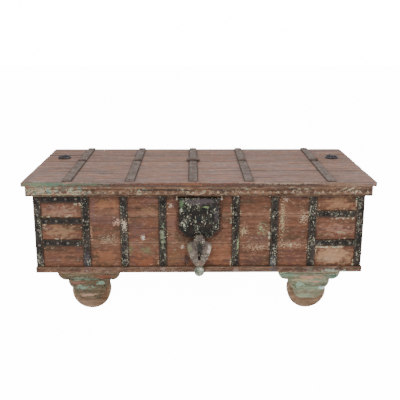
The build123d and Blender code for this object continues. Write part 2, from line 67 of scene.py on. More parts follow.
def add(tree, kind, inputs=None, stops=None, out=None, **settings):
    """Add a shader node with its settings and links, and return the output that it is read from.

    Inputs are named or numbered, and hold values, hex colours or sockets; stops are those of a colour ramp.
    """
    node = tree.nodes.new("ShaderNode" + kind)
    for name, value in settings.items():
        setattr(node, name, value)
    for key, value in (inputs or {}).items():
        socket = next(
            socket
            for number, socket in enumerate(node.inputs)
            if key == number or (socket.enabled and socket.name == key)
        )
        if isinstance(value, bpy.types.NodeSocket):
            tree.links.new(value, socket)
        else:
            socket.default_value = srgb(value) if isinstance(value, str) else value
    if stops:
        elements = node.color_ramp.elements
        while len(elements) < len(stops):
            elements.new(1.0)
        for element, (position, colour) in zip(elements, stops):
            element.position = position
            element.color = srgb(colour)
    return next(socket for socket in node.outputs if (socket.name == out if out else socket.enabled))


def new_material(name):
    """An empty node material, with its tree and its object coordinates."""
    material = bpy.data.materials.new(name)
    material.use_nodes = True
    tree = material.node_tree
    tree.nodes.clear()
    return material, tree, add(tree, "TexCoord", out="Object")


def finish_material(tree, colour, rough, height, bump_mm, specular):
    """Wire colour, roughness and bump to one shader."""
    normal = add(tree, "Bump", {"Height": height, "Distance": bump_mm * MM, "Strength": 1.0})
    surface = add(
        tree,
        "BsdfPrincipled",
        {
            "Base Color": colour,
            "Roughness": rough,
            "Normal": normal,
            "Specular IOR Level": specular,
        },
    )
    output = tree.nodes.new("ShaderNodeOutputMaterial")
    tree.links.new(surface, output.inputs[0])


def fibres(tree, coords, across_mm, along_mm, axis, seed, detail=4.0, rough=0.55, twist=0.0):
    """Streaks drawn out along the grain, each about across_mm wide and along_mm long."""
    scale = [1 / (across_mm * MM)] * 3
    scale["XYZ".index(axis)] = 1 / (along_mm * MM)
    place = (seed, seed * 1.7, seed * 0.6)
    drawn = add(tree, "Mapping", {"Vector": coords, "Scale": scale, "Location": place})
    return add(
        tree,
        "TexNoise",
        {"Vector": drawn, "Scale": 1.0, "Detail": detail, "Roughness": rough, "Distortion": twist},
    )


# A patch is (colour, centre in mm, half size in mm, flake size in mm, raggedness, strength).
PATCH_RIM = 0.7
MEAN_NOISE = 0.45
PATCH_SOFTNESS = 0.06
FLAKE_SOFTNESS = 0.012


def stained(tree, coords, colour, seed, patch):
    """Colour with a ragged patch over it: solid in the middle, breaking into flakes towards its rim."""
    shade, place_mm, half_mm, flake_mm, scatter, strength = patch
    scale = [1 / (half * MM) for half in half_mm]
    shift = [-place / half for place, half in zip(place_mm, half_mm)]
    local = add(tree, "Mapping", {"Vector": coords, "Scale": scale, "Location": shift})
    reach = add(tree, "VectorMath", {0: local}, operation="LENGTH")
    flakes = fibres(tree, coords, flake_mm, flake_mm * 1.8, "X", seed, 5.0, 0.6)
    level = add(tree, "Math", {0: flakes, 1: scatter, 2: reach}, operation="MULTIPLY_ADD")
    rim = PATCH_RIM + MEAN_NOISE * scatter
    soft = PATCH_SOFTNESS + FLAKE_SOFTNESS * flake_mm
    mask = add(
        tree,
        "MapRange",
        {"Value": level, "From Min": rim - soft, "From Max": rim + soft, "To Min": strength, "To Max": 0.0},
    )
    return add(tree, "Mix", {"Factor": mask, "A": colour, "B": shade}, data_type="RGBA")


# ---------------------------------------------------------------- materials


def old_wood(
    name, hues, axis="X", seed=0.0, streak=1.0, dark="#21140f", rubbed="#b08c76", scuff="#a98e80",
    scuffs=0.35, splits=0.9, residue=None, patches=(), rough=0.74,
):
    """Old oiled hardwood, sawn and worn by hand.

    The eye gets four drifting browns, darker and lighter streaks along the grain, long splits, rubbed pale
    edges, grime and painted shade, and flakes of old paint. The mesh says where it is rubbed, grimy,
    shaded or painted.
    """
    material, tree, coords = new_material(name)
    drift = fibres(tree, coords, 38, 130, axis, seed, 3.0, 0.6, 0.5)
    figure = fibres(tree, coords, 9, 150, axis, seed + 3, 5.0, 0.62, 0.35)
    pores = fibres(tree, coords, 2.6, 26, axis, seed + 5, 4.0, 0.6)
    mottle = fibres(tree, coords, 7, 16, axis, seed + 7, 4.0, 0.65)
    split = fibres(tree, coords, 8, 380, axis, seed + 9, 3.0, 0.5, 0.12)
    places = (0.36, 0.46, 0.54, 0.64)
    hue = add(tree, "ValToRGB", {0: drift}, stops=tuple(zip(places, hues)))
    light = add(tree, "Math", {0: figure, 1: 0.55, 2: 0.0}, operation="MULTIPLY_ADD")
    light = add(tree, "Math", {0: mottle, 1: 0.25, 2: light}, operation="MULTIPLY_ADD")
    light = add(tree, "Math", {0: pores, 1: 0.20, 2: light}, operation="MULTIPLY_ADD")
    half = 0.13 / streak
    greys = ((0.5 - half, "#6a6360"), (0.5, "#b0aca9"), (0.5 + half, "#f4f2f0"))
    shade = add(tree, "ValToRGB", {0: light}, stops=greys)
    colour = add(tree, "Mix", {"Factor": 1.0, "A": hue, "B": shade}, data_type="RGBA", blend_type="MULTIPLY")
    scuffed = add(tree, "MapRange", {"Value": mottle, "From Min": 0.56, "From Max": 0.66, "To Max": scuffs})
    colour = add(tree, "Mix", {"Factor": scuffed, "A": colour, "B": scuff}, data_type="RGBA")
    crack = add(tree, "MapRange", {"Value": split, "From Min": 0.365, "From Max": 0.335, "To Max": splits})
    colour = add(tree, "Mix", {"Factor": crack, "A": colour, "B": dark}, data_type="RGBA")
    for number, patch in enumerate(patches):
        colour = stained(tree, coords, colour, seed + 20 + number, patch)
    wear = add(tree, "Attribute", out="Fac", attribute_name="wear")
    bare = add(tree, "MapRange", {"Value": pores, "From Min": 0.35, "From Max": 0.6})
    bare = add(tree, "Math", {0: wear, 1: bare}, operation="MULTIPLY")
    colour = add(tree, "Mix", {"Factor": bare, "A": colour, "B": rubbed}, data_type="RGBA")
    # Grime and painted shade, both from the mesh, darken the colour here.
    grime_and_shade = add(tree, "Attribute", out="Fac", attribute_name="grime_and_shade")
    colour = add(tree, "Mix", {"Factor": grime_and_shade, "A": colour, "B": dark}, data_type="RGBA")
    if residue:
        amount = add(tree, "Attribute", out="Fac", attribute_name="paint")
        flakes = fibres(tree, coords, 6, 12, axis, seed + 11, 5.0, 0.62)
        level = add(tree, "Math", {0: amount, 1: 0.3, 2: flakes}, operation="MULTIPLY_ADD")
        shown = add(tree, "MapRange", {"Value": level, "From Min": 0.64, "From Max": 0.70, "To Max": 0.7})
        choice = fibres(tree, coords, 16, 26, axis, seed + 13, 2.0)
        flake = add(tree, "ValToRGB", {0: choice}, stops=residue)
        colour = add(tree, "Mix", {"Factor": shown, "A": colour, "B": flake}, data_type="RGBA")
    height = add(tree, "Math", {0: crack, 1: -1.2, 2: light}, operation="MULTIPLY_ADD")
    roughness = add(tree, "MapRange", {"Value": light, "To Min": rough + 0.2, "To Max": rough - 0.2})
    finish_material(tree, colour, roughness, height, 1.6, specular=0.3)
    return material


def old_iron(
    name, black="#0d0c0b", grey="#322d29", rust="#42291c", edge="#6d5a4a", flecks=None, share=0.3,
    fleck_mm=4.5, seed=0.0, patches=(), coats=(),
):
    """Hand-forged iron under many coats of black paint.

    The eye gets a broken black skin with greyer patches, partly rubbed ground and partly painted sheen,
    small chips down to cream and green coats, some rust in the pits and paler worn edges.
    """
    material, tree, coords = new_material(name)
    broad = fibres(tree, coords, 26, 40, "Z", seed, 4.0, 0.62)
    pits = fibres(tree, coords, 6, 8, "Z", seed + 2, 4.0, 0.65, 0.4)
    fine = fibres(tree, coords, 2.5, 3.5, "Z", seed + 4, 3.0, 0.6)
    # Black to grey over broad patches: partly rubbed ground, partly painted sheen.
    ground = add(tree, "ValToRGB", {0: broad}, stops=((0.4, black), (0.62, grey)))
    rusty = add(tree, "MapRange", {"Value": pits, "From Min": 0.55, "From Max": 0.64, "To Max": 0.75})
    colour = add(tree, "Mix", {"Factor": rusty, "A": ground, "B": rust}, data_type="RGBA")
    wear = add(tree, "Attribute", out="Fac", attribute_name="wear")
    rubbed = add(tree, "MapRange", {"Value": fine, "From Min": 0.4, "From Max": 0.58})
    rubbed = add(tree, "Math", {0: wear, 1: rubbed}, operation="MULTIPLY")
    colour = add(tree, "Mix", {"Factor": rubbed, "A": colour, "B": edge}, data_type="RGBA")
    for number, patch in enumerate(patches):
        colour = stained(tree, coords, colour, seed + 20 + number, patch)
    if flecks:
        chips = fibres(tree, coords, fleck_mm, fleck_mm * 1.7, "Z", seed + 6, 3.0, 0.6, 0.6)
        spread = fibres(tree, coords, 18, 34, "Z", seed + 8, 2.0)
        level = add(tree, "Math", {0: spread, 1: 0.5, 2: chips}, operation="MULTIPLY_ADD")
        floor = 0.93 - 0.36 * share
        shown = add(tree, "MapRange", {"Value": level, "From Min": floor, "From Max": floor + 0.04})
        choice = fibres(tree, coords, 9, 14, "Z", seed + 10, 2.0)
        fleck = add(tree, "ValToRGB", {0: choice}, stops=flecks)
        colour = add(tree, "Mix", {"Factor": shown, "A": colour, "B": fleck}, data_type="RGBA")
    for number, coat in enumerate(coats):
        colour = stained(tree, coords, colour, seed + 40 + number, coat)
    grime_and_shade = add(tree, "Attribute", out="Fac", attribute_name="grime_and_shade")
    colour = add(tree, "Mix", {"Factor": grime_and_shade, "A": colour, "B": "#1a1413"}, data_type="RGBA")
    height = add(tree, "Math", {0: fine, 1: 0.35, 2: pits}, operation="MULTIPLY_ADD")
    roughness = add(
        tree, "MapRange", {"Value": pits, "From Min": 0.3, "From Max": 0.7, "To Min": 0.5, "To Max": 0.8}
    )
    finish_material(tree, colour, roughness, height, 1.0, specular=0.2)
    return material


# Remnants of old paint, as stops of a colour ramp: on the walls, the apron, the straps, the hasp and its knob.
WALL_RESIDUE = ((0.38, "#c9b79c"), (0.46, "#a7a67f"), (0.54, "#cdb9a2"), (0.62, "#7f9c86"))
APRON_RESIDUE = ((0.38, "#63897c"), (0.46, "#b5a184"), (0.54, "#7d957c"), (0.62, "#c4ad98"))
IRON_FLECKS = ((0.38, "#cdc3b0"), (0.46, "#84906f"), (0.54, "#b3a491"), (0.62, "#64786f"))
LEAF_FLECKS = ((0.38, "#d8cfc0"), (0.46, "#9a9c84"), (0.54, "#c4b3a2"), (0.62, "#8d8f80"))
KNOB_FLECKS = ((0.38, "#cfd2bf"), (0.46, "#5b6355"), (0.54, "#b7bda6"), (0.62, "#474d42"))
PLATE_FLECKS = ((0.38, "#e0d8c2"), (0.46, "#97a486"), (0.54, "#c9bca8"), (0.62, "#8a988a"))

WALL_PATCHES = (
    ("#7d5750", (-160, -254, 395), (44, 40, 22), 9, 3.0, 0.4),
    ("#86684a", (-170, -254, 360), (44, 40, 16), 9, 3.0, 0.4),
    ("#67494a", (-352, -254, 360), (14, 40, 70), 9, 3.0, 0.45),
    ("#9c6a48", (-305, -254, 385), (56, 40, 30), 9, 3.0, 0.4),
    ("#96603f", (75, -254, 215), (70, 40, 62), 9, 3.0, 0.35),
    ("#8e6553", (-90, -254, 310), (26, 40, 90), 9, 3.0, 0.35),
    ("#96583a", (-185, -254, 178), (58, 40, 30), 9, 3.0, 0.4),
    ("#966040", (-315, -254, 195), (60, 40, 36), 9, 3.0, 0.4),
    ("#775838", (-80, -254, 195), (50, 40, 40), 9, 3.0, 0.4),
    ("#4a2f2b", (185, -254, 180), (58, 40, 34), 9, 3.0, 0.5),
    ("#4f3230", (310, -254, 200), (55, 40, 34), 9, 3.0, 0.45),
    ("#5d4140", (-205, -254, 300), (48, 40, 34), 9, 3.0, 0.45),
    ("#5a3c36", (-310, -254, 330), (50, 40, 40), 9, 3.0, 0.35),
    # Painted shadow of the hasp leaf: a dark patch left of its lower half and a near-black one behind its tip.
    ("#2a1a15", (-42, -254, 190), (16, 40, 34), 6, 1.8, 0.75),
    ("#1d1412", (0, -254, 196), (17, 40, 32), 6, 0.8, 0.97),
    ("#5f6340", (-178, -254, 222), (28, 40, 17), 4, 3.4, 0.7),
    ("#5f6340", (-230, -254, 228), (12, 40, 32), 4, 3.4, 0.65),
    ("#cfc8bc", (-187, -254, 267), (8, 40, 12), 2.4, 5.0, 0.8),
    ("#d8c3b0", (-94, -254, 378), (9, 40, 9), 3, 3.0, 0.8),
    ("#d8c3b0", (-56, -254, 236), (9, 40, 10), 2.4, 5.0, 0.8),
    ("#cba68f", (-268, -254, 322), (22, 40, 15), 3, 6.0, 0.7),
    ("#b08a70", (-360, -254, 290), (6, 40, 38), 3, 4.0, 0.6),
    ("#b9a982", (146, -254, 290), (20, 40, 20), 3, 8.0, 0.7),
    ("#b5a682", (276, -254, 335), (11, 40, 75), 3, 9.0, 0.75),
    ("#bba98a", (300, -254, 240), (46, 40, 9), 3, 8.0, 0.7),
    ("#cdb7a6", (288, -254, 398), (14, 40, 9), 3, 6.0, 0.7),
    ("#c4ae90", (345, -254, 335), (14, 40, 26), 3, 9.0, 0.7),
    ("#8d9a76", (210, -254, 295), (20, 40, 22), 3, 9.0, 0.6),
    ("#7f9a78", (468, -254, 285), (24, 40, 7), 4, 6.0, 0.8),
    ("#b09c80", (-300, -254, 262), (34, 40, 16), 3, 10.0, 0.55),
    ("#b09c80", (190, -254, 232), (46, 40, 10), 3, 10.0, 0.6),
    ("#9a7a69", (-455, -254, 362), (72, 40, 30), 7, 5.0, 0.4),
    ("#9f8060", (-455, -254, 288), (75, 40, 34), 9, 4.0, 0.4),
    ("#9d7460", (455, -254, 290), (75, 40, 36), 9, 4.0, 0.4),
    ("#b38b68", (455, -254, 205), (80, 40, 46), 12, 2.0, 0.6),
    ("#a9937a", (430, -254, 190), (44, 40, 12), 3, 8.0, 0.7),
    ("#a5805c", (455, -254, 385), (80, 40, 36), 9, 4.0, 0.4),
)
TOP_PATCHES = (
    ("#3a2219", (0, -292, 454), (900, 14, 13), 5, 0.5, 0.97),
    ("#673b29", (-60, -292, 460), (330, 12, 7), 5, 2.4, 0.85),
    ("#7a4c2c", (-20, -292, 459), (60, 12, 8), 5, 3.0, 0.6),
    ("#7a5c46", (470, -292, 458), (120, 12, 12), 5, 2.4, 0.85),
    ("#a08a72", (270, -292, 461), (150, 9, 5), 4, 3.4, 0.8),
    ("#4a6a55", (-490, -290, 460), (120, 13, 11), 4, 2.4, 0.95),
    ("#5d5f42", (-540, -290, 458), (60, 13, 8), 4, 5.0, 0.8),
    ("#6c8060", (-520, -290, 458), (40, 13, 12), 4, 6.0, 0.7),
    ("#4d5a44", (-365, -290, 460), (100, 12, 9), 4, 3.0, 0.85),
    ("#a5624c", (0, -200, 464), (560, 60, 9), 40, 4.0, 0.18),
    ("#b3b1a4", (-520, -276, 464), (34, 12, 6), 5, 2.4, 0.6),
)
BACK_EDGE_PATCHES = (
    ("#8aa58f", (235, 275, 464), (130, 34, 14), 9, 3.0, 0.75),
    ("#7f9886", (-60, 284, 464), (120, 16, 14), 8, 4.0, 0.5),
)

# The four drifting browns of the walls.
BROWNS = ("#76583f", "#8f6049", "#986549", "#855d50")

teak = old_wood(
    "sawn_teak_front", BROWNS, seed=1.0, streak=0.52, rubbed="#a5806a", scuff="#98796a", residue=WALL_RESIDUE,
    splits=0.45,
    patches=WALL_PATCHES,
)
dark_teak = old_wood(
    "oiled_teak_lock_board", ("#452a1e", "#573526", "#633c2b", "#4d3026"), seed=3.0, streak=0.7,
    rubbed="#7c5845", scuff="#7d5f50",
)
teak_back = old_wood("sawn_teak_back", BROWNS, seed=5.0, residue=WALL_RESIDUE, scuffs=0.2)
teak_end = old_wood("sawn_teak_ends", BROWNS, axis="Y", seed=8.0, residue=WALL_RESIDUE)
teak_rough = old_wood(
    "rough_sawn_teak_inside", ("#a08770", "#b5967b", "#c0a084", "#a88d7c"), seed=12.0, streak=0.8, scuffs=0.1,
    rough=0.85,
)
top_front = old_wood(
    "weathered_teak_front_lid_board", ("#b39383", "#d6a692", "#b49d97", "#c69a88"), seed=15.0, streak=0.42,
    splits=0.7,
    rubbed="#c2ab9c", scuff="#bcaaa2", patches=TOP_PATCHES, rough=0.62,
)
top_rear = old_wood(
    "weathered_teak_rear_lid_board", ("#bb9180", "#dba78f", "#b9a09a", "#d19d85"), seed=17.0, streak=0.42,
    splits=0.7,
    rubbed="#c2ab9c", scuff="#bcaaa2", rough=0.62,
)
top_fixed = old_wood(
    "weathered_teak_fixed_board", ("#ad8b76", "#cd9982", "#ad958d", "#c8927c"), seed=19.0, streak=0.45,
    splits=0.7,
    rubbed="#b8a08f", scuff="#b5a298", patches=BACK_EDGE_PATCHES, rough=0.62,
)
apron_wood = old_wood(
    "carved_painted_apron", ("#7d6350", "#9a7056", "#a87c5c", "#886a60"), seed=21.0, rubbed="#c29c7e",
    residue=APRON_RESIDUE, scuffs=0.5,
)
apron_end = old_wood(
    "painted_apron_ends", ("#7d6350", "#9a7056", "#a87c5c", "#886a60"), axis="Y", seed=23.0, rubbed="#c29c7e",
    residue=APRON_RESIDUE, scuffs=0.5,
)
notch_wood = old_wood("lime_washed_notch", ("#dcc4aa", "#ecd0b8", "#e6d4bc", "#d8bca4"), seed=26.0, scuffs=0.4)
plinth_wood = old_wood(
    "worn_plinth_moulding", ("#6f503b", "#825844", "#7d604c", "#725046"), seed=25.0, rubbed="#9a7d68",
    residue=WALL_RESIDUE,
    patches=(
        ("#8aa58f", (450, -264, 152), (60, 20, 10), 5, 4.0, 0.7),
        ("#4d3a40", (-376, -264, 158), (14, 20, 16), 4, 2.4, 0.7),
        ("#40382f", (-249.5, -264, 156), (14, 20, 20), 4, 2.4, 0.7),
        ("#8c7a72", (-121.5, -264, 160), (14, 20, 12), 4, 3.0, 0.6),
        ("#8f7a70", (121.5, -264, 156), (14, 20, 16), 4, 3.0, 0.6),
        ("#3f3d42", (249.5, -264, 156), (15, 20, 22), 5, 1.6, 0.85),
        ("#55574d", (376, -264, 156), (14, 20, 20), 4, 2.4, 0.7),
    ),
)
left_bracket_wood = old_wood(
    "brown_painted_bracket", ("#76634a", "#867054", "#7a7359", "#8c7058"), seed=30.0, streak=0.8,
    rubbed="#a88e74",
    patches=(
        ("#6f3626", (-318, -260, 130), (50, 40, 9), 6, 2.4, 0.8),
        ("#76907a", (-385, -260, 122), (62, 40, 9), 5, 4.0, 0.55),
        ("#7b9c88", (-395, -260, 92), (40, 40, 11), 5, 3.4, 0.6),
        ("#79a08a", (-330, -260, 108), (26, 40, 9), 5, 3.0, 0.65),
        ("#85584c", (-410, -260, 108), (36, 40, 8), 5, 3.4, 0.75),
        ("#b08a76", (-380, -260, 64), (40, 40, 8), 6, 2.0, 0.75),
    ),
)
right_bracket_wood = old_wood(
    "mint_painted_bracket", ("#a3aa8c", "#97ad90", "#a89f80", "#8bb398"), seed=33.0, streak=0.7,
    rubbed="#c3ae94",
    patches=(
        ("#b8826e", (380, -260, 126), (60, 40, 9), 6, 3.0, 0.8),
        ("#b47e6c", (392, -260, 110), (46, 40, 6), 6, 3.0, 0.8),
        ("#a0855f", (350, -260, 117), (60, 40, 7), 6, 3.0, 0.75),
        ("#b6d2d2", (420, -260, 88), (20, 40, 8), 5, 2.4, 0.9),
        ("#8fb498", (340, -260, 100), (22, 40, 14), 5, 4.0, 0.65),
    ),
)
back_bracket_wood = old_wood(
    "painted_back_bracket", ("#8f8468", "#9c8a68", "#93a084", "#a58468"), seed=36.0, rubbed="#c0a486",
    residue=APRON_RESIDUE,
)
wheel_wood = old_wood(
    "worn_wheel_wood", ("#a07b5b", "#b5947a", "#a9886a", "#c2a287"), axis="X", seed=38.0, streak=0.5,
    rubbed="#d6b79c", scuffs=0.3, splits=0.35,
)
strap_iron = old_iron(
    "chipped_black_iron", flecks=IRON_FLECKS, share=0.21, fleck_mm=3.0, seed=2.0,
    patches=(
        ("#c6ad94", (-249, -257, 310), (13, 30, 34), 4, 4.0, 0.85),
        ("#75665d", (-450, -257, 326), (90, 30, 12), 6, 3.0, 0.7),
        ("#7f8c5e", (130, -257, 238), (7, 30, 34), 4, 3.0, 0.75),
        ("#7f8c6c", (-122, -257, 270), (9, 30, 60), 4, 4.0, 0.7),
        ("#4a4b52", (249, -257, 176), (14, 30, 34), 16, 0.6, 0.9),
        ("#3c353d", (-376, -257, 190), (14, 30, 40), 16, 0.6, 0.85),
    ),
)
bare_band_iron = old_iron(
    "smooth_black_iron", black="#121110", grey="#252220", flecks=IRON_FLECKS, share=0.06, seed=7.0
)
top_iron = old_iron(
    "worn_top_iron", black="#5f524c", grey="#7f7069", rust="#66554b", edge="#8b7c71", seed=6.0
)
hasp_iron = old_iron(
    "chipped_hasp_plate", black="#0b0c0a", grey="#1f1e1b", flecks=PLATE_FLECKS, share=0.17, fleck_mm=2.6,
    seed=9.0,
    coats=(
        ("#4a4042", (8, -273, 396), (90, 20, 17), 5, 3.2, 0.9),
        ("#57694a", (-58, -273, 388), (12, 20, 22), 4, 4.0, 0.85),
        ("#6f7f58", (18, -273, 377), (26, 20, 5), 4, 3.4, 0.85),
        ("#40383b", (56, -273, 350), (11, 20, 46), 5, 3.0, 0.75),
        ("#17181a", (-2, -273, 338), (13, 20, 17), 6, 0.8, 0.95),
        # Painted shadow on the plate around the top of the leaf's tongue.
        ("#141413", (4, -273, 300), (24, 20, 12), 5, 3.0, 0.8),
    ),
)
leaf_iron = old_iron(
    "worn_hasp_leaf", black="#3a332f", grey="#6c6058", rust="#463931", edge="#8d7f73", flecks=LEAF_FLECKS,
    share=0.14, fleck_mm=2.4, seed=13.0,
    patches=(
        ("#1f1f1c", (2, -280, 244), (24, 20, 26), 4, 3.0, 0.9),
        ("#6d6c50", (-33, -279, 238), (13, 20, 20), 4, 3.0, 0.85),
        ("#bba598", (34, -279, 230), (13, 20, 28), 4, 3.0, 0.9),
        ("#806b5d", (0, -279, 180), (26, 20, 24), 5, 3.0, 0.7),
    ),
)
knob_iron = old_iron(
    "green_painted_knob", black="#5c6557", grey="#a9ac98", rust="#2f332b", edge="#c4c4b2", flecks=KNOB_FLECKS,
    share=0.24, fleck_mm=3.0, seed=18.0,
    patches=(
        # Painted highlight on the upper part of the knob, painted shade on its left and along its bottom.
        ("#dcdbca", (4, -290, 165), (9, 40, 6), 3, 3.0, 0.9),
        ("#3a3f36", (-11, -290, 160), (6, 40, 9), 3, 3.0, 0.8),
        ("#454a40", (2, -290, 144), (18, 40, 6), 3, 3.0, 0.8),
    ),
)
dark_iron = old_iron("dark_forged_iron", black="#3a3d44", grey="#656972", seed=14.0)
eye_iron = old_iron("rubbed_pale_staple", black="#8d7a66", grey="#b9a68f", rust="#6a5645", seed=16.0)


# ---------------------------------------------------------------- meshes


def islands(node):
    """Lowest and highest corner of each separate solid of a CAD node."""
    mesh = bmesh.new()
    mesh.from_mesh(nodes[node].data)
    bmesh.ops.remove_doubles(mesh, verts=mesh.verts, dist=1e-6)
    unseen = set(mesh.verts)
    boxes = []
    while unseen:
        group = {unseen.pop()}
        rim = set(group)
        while rim:
            rim = {other for vert in rim for link in vert.link_edges for other in link.verts} - group
            group |= rim
        unseen -= group
        low = Vector([min(vert.co[axis] for vert in group) for axis in range(3)])
        high = Vector([max(vert.co[axis] for vert in group) for axis in range(3)])
        boxes.append((low, high))
    mesh.free()
    return sorted(boxes, key=lambda box: tuple(round(value, 5) for value in (*box[0], *box[1])))


def cut_planes(mesh, cuts):
    """Cut every face along level planes, given as (axis, position)."""
    for axis, position in cuts:
        normal = Vector([float(k == axis) for k in range(3)])
        bmesh.ops.bisect_plane(
            mesh,
            geom=mesh.verts[:] + mesh.edges[:] + mesh.faces[:],
            plane_co=normal * position,
            plane_no=normal,
        )


def block_mesh(low, high, cell_mm, round_mm, cuts=(), nose=None):
    """Box cut into cells about cell_mm across; nose names a face (axis, end) and a larger round for its rim."""
    size = high - low
    mesh = bmesh.new()
    bmesh.ops.create_cube(mesh, size=1.0)
    place = Matrix.Translation((low + high) / 2) @ Matrix.Diagonal((*size, 1))
    bmesh.ops.transform(mesh, matrix=place, verts=mesh.verts)
    if nose:
        axis, end, nose_mm = nose
        level = (low, high)[end][axis]
        rim = [edge for edge in mesh.edges if all(abs(vert.co[axis] - level) < 1e-6 for vert in edge.verts)]
        bmesh.ops.bevel(
            mesh, geom=rim, offset=nose_mm * MM, segments=4, profile=0.5, affect="EDGES", material=-1,
            clamp_overlap=True,
        )
    else:
        for axis in range(3):
            cuts_along = max(int(size[axis] / (cell_mm * MM)) - 1, 1)
            along = [
                edge
                for edge in mesh.edges
                if abs((edge.verts[0].co - edge.verts[1].co)[axis]) > 0.5 * size[axis]
            ]
            bmesh.ops.subdivide_edges(mesh, edges=along, cuts=cuts_along, use_grid_fill=True)
    sharp = [edge for edge in mesh.edges if edge.calc_face_angle(0) > 1.0]
    bmesh.ops.bevel(
        mesh, geom=sharp, offset=round_mm * MM, segments=2, profile=0.5, affect="EDGES", material=-1,
        clamp_overlap=True,
    )
    if nose:
        steps = []
        for axis in range(3):
            count = int(size[axis] / (cell_mm * MM))
            steps += [(axis, low[axis] + size[axis] * step / count) for step in range(1, count)]
        cut_planes(mesh, steps)
    cut_planes(mesh, cuts)
    return mesh


def weather(mesh, low, high, seed, warp_mm=0.6, chip_mm=1.2, edge_mm=5.0, axis=0, touch=None, rub=0.8):
    """Warp faces, nick edges, and store wear, grime and painted shade, and paint on each vertex.

    touch gives (push in mm, grime and painted shade, paint) for a point and its normal.
    """
    wear = mesh.verts.layers.float.new("wear")
    grime_and_shade = mesh.verts.layers.float.new("grime_and_shade")
    paint = mesh.verts.layers.float.new("paint")
    mesh.normal_update()
    stretch = Vector((1, 1, 1))
    stretch[axis] = 0.12
    shift = Vector((seed * 3.1, seed * 1.7, seed * 2.3))
    moves = []
    for vert in mesh.verts:
        gaps = sorted(min(vert.co[k] - low[k], high[k] - vert.co[k]) for k in range(3))
        reach = math.hypot(max(gaps[0], 0), max(gaps[1], 0)) / MM
        near = math.exp(-reach / edge_mm)
        spot = vert.co * stretch
        broad = noise.noise(spot * 14 + shift)
        fine = noise.noise(spot * 90 + shift)
        nick = max(0.0, noise.noise(spot * 45 + shift * 2) - 0.05)
        push, dirt_and_shade, residue = touch(vert.co, vert.normal) if touch else (0.0, 0.0, 0.0)
        push += warp_mm * (0.7 * broad + 0.3 * fine) - chip_mm * near * nick * 2
        moves.append(vert.normal * MM * push)
        vert[wear] = min(1.0, near * (0.55 + 0.9 * nick + 0.5 * abs(fine))) * rub
        vert[grime_and_shade] = dirt_and_shade
        vert[paint] = residue
    for vert, move in zip(mesh.verts, moves):
        vert.co += move
    return mesh


def show(mesh, name, materials, node_names, body=None):
    """Make a mesh into a piece that stands for CAD nodes and rides on their body."""
    data = bpy.data.meshes.new(name)
    for face in mesh.faces:
        face.smooth = True
    mesh.to_mesh(data)
    mesh.free()
    for material in materials if isinstance(materials, (list, tuple)) else [materials]:
        data.materials.append(material)
    piece = bpy.data.objects.new(name, data)
    bpy.context.scene.collection.objects.link(piece)
    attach(piece, body or body_of_node[node_names[0]])
    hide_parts(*node_names)
    return piece


def joined(meshes):
    """One bmesh from several."""
    whole = bmesh.new()
    for mesh in meshes:
        data = bpy.data.meshes.new("part")
        mesh.to_mesh(data)
        mesh.free()
        whole.from_mesh(data)
        bpy.data.meshes.remove(data)
    return whole


def timbers(node, material, slot, seed, cell_mm=7.0, round_mm=1.5, cuts=(), nose=None, **wearing):
    """Every solid of a box-shaped wooden CAD node, worn by age."""
    meshes = []
    for number, (low, high) in enumerate(islands(node)):
        mesh = block_mesh(low, high, cell_mm, round_mm, cuts, nose)
        meshes.append(weather(mesh, low, high, seed + number, **wearing))
    return show(joined(meshes), node + "_wood", material, [node])


def irons(node, material, slot, seed, cell_mm=4.5, **wearing):
    """Every solid of a flat iron CAD node, with hammered faces and ragged softened edges."""
    meshes = []
    for number, (low, high) in enumerate(islands(node)):
        mesh = block_mesh(low, high, cell_mm, 0.8)
        wearing = {"warp_mm": 0.7, "chip_mm": 0.9, "edge_mm": 1.6, **wearing}
        meshes.append(weather(mesh, low, high, seed + number, **wearing))
    return show(joined(meshes), node + "_iron", material, [node])


def merged_copy(node):
    """A CAD node's mesh with its loose triangles merged and its flat faces made whole."""
    mesh = bmesh.new()
    mesh.from_mesh(nodes[node].data)
    bmesh.ops.remove_doubles(mesh, verts=mesh.verts, dist=1e-6)
    bmesh.ops.dissolve_limit(mesh, angle_limit=math.radians(2), verts=mesh.verts, edges=mesh.edges)
    return mesh


def from_cad(node, name, material, slot, seed, bevel_mm=1.0, cell_mm=6.0, carve=None, **wearing):
    """A worn copy of a CAD node of any shape: its edges rounded and its faces cut into cells."""
    mesh = merged_copy(node)
    if carve:
        carve(mesh)
    sharp = [edge for edge in mesh.edges if edge.calc_face_angle(0) > 0.6]
    bmesh.ops.bevel(
        mesh, geom=sharp, offset=bevel_mm * MM, segments=2, profile=0.5, affect="EDGES", material=-1,
        clamp_overlap=True,
    )
    low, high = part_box(node)
    low, high = Vector(low), Vector(high)
    for axis in range(3):
        count = int((high - low)[axis] / (cell_mm * MM))
        cut_planes(mesh, [(axis, low[axis] + (high - low)[axis] * step / count) for step in range(1, count)])
    weather(mesh, low, high, seed, **wearing)
    return show(mesh, name, material, [node])


# ---------------------------------------------------------------- what the irons do to the wood beside them

front_irons = [
    box
    for node in (
        "front_straps_left", "front_straps_right", "corner_bands_left", "corner_bands_right",
        "corner_iron_front_left", "corner_iron_front_right",
    )
    for box in islands(node)
]
lid_irons = [box for letter in "abcde" for box in [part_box(f"lid_strap_{letter}")]]
rear_irons = [
    (Vector((strap_low[0], low.y, low.z)), Vector((strap_high[0], high.y, high.z)))
    for (strap_low, strap_high), (low, high) in zip(lid_irons, islands("rear_hinge_leaves"))
]
corner_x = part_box("corner_bands_right")[0][0]
apron_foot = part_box("lid_apron_front")[0][2]
seam_levels = [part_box(node)[1][1] for node in ("lid_plank_front", "lid_plank_rear", "rear_plank_front")]
ring_place = (Vector(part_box("ring_right")[0]) + Vector(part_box("ring_right")[1])) / 2


